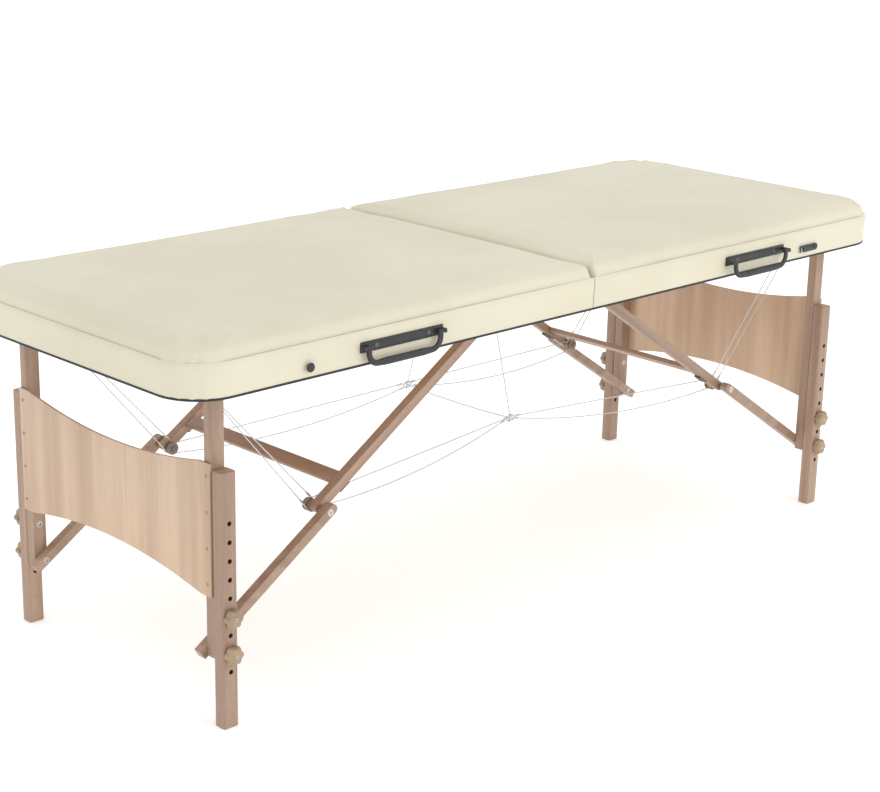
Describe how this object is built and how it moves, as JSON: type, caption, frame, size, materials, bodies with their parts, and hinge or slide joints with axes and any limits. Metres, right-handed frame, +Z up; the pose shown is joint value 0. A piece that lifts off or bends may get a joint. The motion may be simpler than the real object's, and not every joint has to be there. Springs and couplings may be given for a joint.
{
  "type": "portable folding massage table",
  "caption": "Portable folding massage table: padded top in two halves on adjustable wooden legs, with folding braces, steel cables and carry handles.",
  "frame": {"origin": "on the floor under the middle of the whole object, near-side handles included", "axes": "+X along the table towards its right end, +Y across it away from the handles, +Z up"},
  "size_m": [1.86, 0.72, 0.682],
  "materials": {
    "cover": "cream synthetic leather, satin, over foam",
    "beech": "clear-lacquered beech, satin",
    "plywood": "clear-lacquered beech veneer plywood, satin",
    "steel": "zinc-plated steel",
    "cable": "galvanised wire rope",
    "black_plastic": "moulded, satin"
  },
  "bodies": {
    "left_half": {"cushion_left": "cover", "deck_left": "plywood", "frame_left": "beech", "leg_rod_left": "steel", "brace_rod_left": "steel", "hinge_leaf_left": "steel", "handle_base_left": "black_plastic", "end_cable_left_near": "cable", "end_cable_left_far": "cable", "long_cable_left_near": "cable", "long_cable_left_far": "cable", "latch_stud": "black_plastic"},
    "right_half": {"cushion_right": "cover", "deck_right": "plywood", "frame_right": "beech", "leg_rod_right": "steel", "brace_rod_right": "steel", "hinge_leaf_right": "steel", "handle_base_right": "black_plastic", "end_cable_right_near": "cable", "end_cable_right_far": "cable", "long_cable_right_near": "cable", "long_cable_right_far": "cable"},
    "hinge_line": {"hinge_pin": "steel", "centre_cable": "cable"},
    "legs_left": {"upper_leg_left_near": "beech", "upper_leg_left_far": "beech", "end_plate_left": "plywood"},
    "lower_braces_left": {"lower_brace_left_near": "beech", "lower_brace_left_far": "beech"},
    "upper_braces_left": {"upper_brace_left_near": "beech", "upper_brace_left_far": "beech", "crossbar_left": "beech", "knee_spool_left_near": "beech", "knee_spool_left_far": "beech"},
    "extension_left_near": {"leg_extension_left_near": "beech"},
    "knob_upper_left_near": {"knob_upper_left_near": "beech"},
    "knob_lower_left_near": {"knob_lower_left_near": "beech"},
    "extension_left_far": {"leg_extension_left_far": "beech"},
    "knob_upper_left_far": {"knob_upper_left_far": "beech"},
    "knob_lower_left_far": {"knob_lower_left_far": "beech"},
    "handle_left": {"handle_left": "black_plastic"},
    "legs_right": {"upper_leg_right_near": "beech", "upper_leg_right_far": "beech", "end_plate_right": "plywood"},
    "lower_braces_right": {"lower_brace_right_near": "beech", "lower_brace_right_far": "beech"},
    "upper_braces_right": {"upper_brace_right_near": "beech", "upper_brace_right_far": "beech", "crossbar_right": "beech", "knee_spool_right_near": "beech", "knee_spool_right_far": "beech"},
    "extension_right_near": {"leg_extension_right_near": "beech"},
    "knob_upper_right_near": {"knob_upper_right_near": "beech"},
    "knob_lower_right_near": {"knob_lower_right_near": "beech"},
    "extension_right_far": {"leg_extension_right_far": "beech"},
    "knob_upper_right_far": {"knob_upper_right_far": "beech"},
    "knob_lower_right_far": {"knob_lower_right_far": "beech"},
    "handle_right": {"handle_right": "black_plastic"},
    "latch_hook": {"latch_hook": "black_plastic"}
  },
  "joints": [
    {"name": "hinge_pin_turn", "type": "hinge", "parent": "left_half", "child": "hinge_line", "pos_m": [0, 0.01, 0.591], "axis": [0, 1, 0], "range_deg": [0, 90], "deforming": ["end_cable_left_near", "end_cable_left_far", "long_cable_left_near", "long_cable_left_far", "end_cable_right_near", "end_cable_right_far", "long_cable_right_near", "long_cable_right_far"]},
    {"name": "right_half_fold", "type": "hinge", "parent": "hinge_line", "child": "right_half", "pos_m": [0, 0.01, 0.591], "axis": [0, 1, 0], "range_deg": [0, 90]},
    {"name": "legs_left_fold", "type": "hinge", "parent": "left_half", "child": "legs_left", "pos_m": [-0.8206, 0.01, 0.6126], "axis": [0, -1, 0], "range_deg": [0, 90]},
    {"name": "lower_braces_left_fold", "type": "hinge", "parent": "legs_left", "child": "lower_braces_left", "pos_m": [-0.8206, 0.01, 0.1348], "axis": [0, -1, 0], "range_deg": [0, 54.9]},
    {"name": "upper_braces_left_fold", "type": "hinge", "parent": "left_half", "child": "upper_braces_left", "pos_m": [-0.095, 0.01, 0.6126], "axis": [0, 1, 0], "range_deg": [0, 34.6]},
    {"name": "legs_right_fold", "type": "hinge", "parent": "right_half", "child": "legs_right", "pos_m": [0.8206, 0.01, 0.6126], "axis": [0, 1, 0], "range_deg": [0, 90]},
    {"name": "lower_braces_right_fold", "type": "hinge", "parent": "legs_right", "child": "lower_braces_right", "pos_m": [0.8206, 0.01, 0.1348], "axis": [0, 1, 0], "range_deg": [0, 54.9]},
    {"name": "upper_braces_right_fold", "type": "hinge", "parent": "right_half", "child": "upper_braces_right", "pos_m": [0.095, 0.01, 0.6126], "axis": [0, -1, 0], "range_deg": [0, 34.6]},
    {"name": "extension_left_near_slide", "type": "slide", "parent": "legs_left", "child": "extension_left_near", "axis": [0, 0, -1], "range_m": [-0.0328, 0.164]},
    {"name": "knob_upper_left_near_turn", "type": "hinge", "parent": "legs_left", "child": "knob_upper_left_near", "pos_m": [-0.8206, -0.2955, 0.2004], "axis": [0, -1, 0], "continuous": true},
    {"name": "knob_lower_left_near_turn", "type": "hinge", "parent": "legs_left", "child": "knob_lower_left_near", "pos_m": [-0.8206, -0.2955, 0.1348], "axis": [0, -1, 0], "continuous": true},
    {"name": "extension_left_far_slide", "type": "slide", "parent": "legs_left", "child": "extension_left_far", "axis": [0, 0, -1], "range_m": [-0.0328, 0.164]},
    {"name": "knob_upper_left_far_turn", "type": "hinge", "parent": "legs_left", "child": "knob_upper_left_far", "pos_m": [-0.8206, 0.3155, 0.2004], "axis": [0, 1, 0], "continuous": true},
    {"name": "knob_lower_left_far_turn", "type": "hinge", "parent": "legs_left", "child": "knob_lower_left_far", "pos_m": [-0.8206, 0.3155, 0.1348], "axis": [0, 1, 0], "continuous": true},
    {"name": "extension_right_near_slide", "type": "slide", "parent": "legs_right", "child": "extension_right_near", "axis": [0, 0, -1], "range_m": [-0.0328, 0.164]},
    {"name": "knob_upper_right_near_turn", "type": "hinge", "parent": "legs_right", "child": "knob_upper_right_near", "pos_m": [0.8206, -0.2955, 0.2004], "axis": [0, -1, 0], "continuous": true},
    {"name": "knob_lower_right_near_turn", "type": "hinge", "parent": "legs_right", "child": "knob_lower_right_near", "pos_m": [0.8206, -0.2955, 0.1348], "axis": [0, -1, 0], "continuous": true},
    {"name": "extension_right_far_slide", "type": "slide", "parent": "legs_right", "child": "extension_right_far", "axis": [0, 0, -1], "range_m": [-0.0328, 0.164]},
    {"name": "knob_upper_right_far_turn", "type": "hinge", "parent": "legs_right", "child": "knob_upper_right_far", "pos_m": [0.8206, 0.3155, 0.2004], "axis": [0, 1, 0], "continuous": true},
    {"name": "knob_lower_right_far_turn", "type": "hinge", "parent": "legs_right", "child": "knob_lower_right_far", "pos_m": [0.8206, 0.3155, 0.1348], "axis": [0, 1, 0], "continuous": true},
    {"name": "handle_left_swing", "type": "hinge", "parent": "left_half", "child": "handle_left", "pos_m": [-0.485, -0.3485, 0.625], "axis": [-1, 0, 0], "range_deg": [0, 90]},
    {"name": "handle_right_swing", "type": "hinge", "parent": "right_half", "child": "handle_right", "pos_m": [0.485, -0.3565, 0.625], "axis": [-1, 0, 0], "range_deg": [0, 90]},
    {"name": "latch_hook_swing", "type": "hinge", "parent": "right_half", "child": "latch_hook", "pos_m": [0.69, -0.3416, 0.6139], "axis": [0, -1, 0], "range_deg": [0, 90]}
  ],
  "couplings": [
    {"joint": "legs_left_fold", "follows": "hinge_pin_turn", "ratio": 1},
    {"joint": "lower_braces_left_fold", "follows": "hinge_pin_turn", "ratio": 0.61},
    {"joint": "upper_braces_left_fold", "follows": "hinge_pin_turn", "ratio": 0.38444},
    {"joint": "legs_right_fold", "follows": "hinge_pin_turn", "ratio": 1},
    {"joint": "lower_braces_right_fold", "follows": "hinge_pin_turn", "ratio": 0.61},
    {"joint": "upper_braces_right_fold", "follows": "hinge_pin_turn", "ratio": 0.38444}
  ]
}
